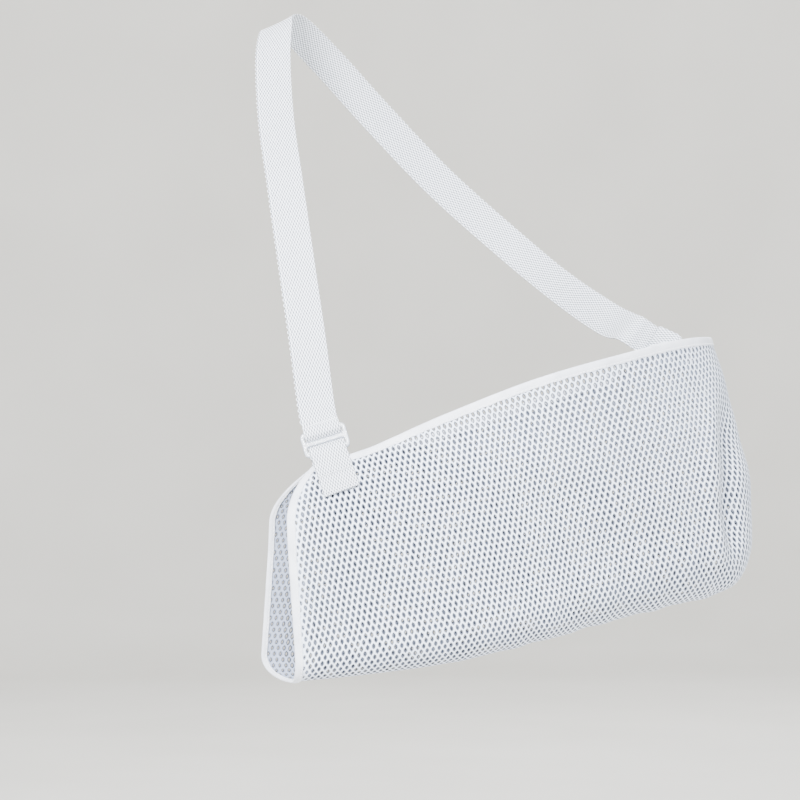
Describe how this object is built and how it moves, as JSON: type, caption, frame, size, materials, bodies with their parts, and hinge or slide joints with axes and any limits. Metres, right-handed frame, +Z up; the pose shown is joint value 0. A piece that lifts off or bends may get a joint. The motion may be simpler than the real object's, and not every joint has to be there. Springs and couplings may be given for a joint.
{
  "type": "arm sling",
  "caption": "Arm sling: open-mesh forearm pouch with taped edges, hung from a webbing shoulder strap with a clear three-bar slider, sewn tab and hemmed tail, in its worn shape.",
  "frame": {"origin": "underside of the strap where it lies over the shoulder, beside the neck", "axes": "+Z up, -Y the wearer's front, +X along the forearm from the hand to the elbow"},
  "size_m": [0.4247, 0.3174, 0.564],
  "materials": {
    "mesh_fabric": "open warp-knit polyester mesh, matt white with a cool cast",
    "binding_tape": "folded woven polyester tape, slightly glossy white",
    "webbing": "coarse woven polypropylene webbing, white, scalloped selvages",
    "slider_plastic": "clear to milky moulded plastic, glossy",
    "thread": "white polyester sewing thread"
  },
  "bodies": {
    "shoulder_strap": {"strap_over_shoulder": "webbing", "strap_front_run": "webbing"},
    "pouch": {"mesh_pouch": "mesh_fabric", "top_binding_front": "binding_tape", "top_binding_rear": "binding_tape", "top_thread_front": "thread", "top_thread_rear": "thread", "hand_opening_binding": "binding_tape", "hand_opening_thread": "thread", "elbow_seam_tape": "binding_tape", "elbow_seam_thread": "thread", "anchor_tab": "webbing", "tab_thread": "thread", "strap_elbow_end": "webbing", "elbow_end_thread": "thread", "strap_tail": "webbing"},
    "slider": {"slider": "slider_plastic", "strap_slider_pass": "webbing"},
    "tail_end": {"tail_hem": "webbing", "tail_thread": "thread"}
  },
  "joints": [
    {"name": "pouch_lift", "type": "hinge", "parent": "shoulder_strap", "child": "pouch", "pos_m": [0.3187, 0.0042, -0.2797], "axis": [0, 1, 0], "range_deg": [-12, 12], "deforming": ["strap_front_run"]},
    {"name": "slider_tilt", "type": "hinge", "parent": "pouch", "child": "slider", "pos_m": [0.0465, -0.1705, -0.3645], "axis": [0.9563, 0, 0.2924], "range_deg": [-3, 30]},
    {"name": "tail_feed", "type": "slide", "parent": "pouch", "child": "tail_end", "axis": [0.1736, 0, -0.9848], "range_m": [-0.06, 0.06], "deforming": ["strap_tail"]}
  ],
  "couplings": [
    {"joint": "tail_feed", "follows": "pouch_lift", "m_per_rad": 0.27}
  ]
}
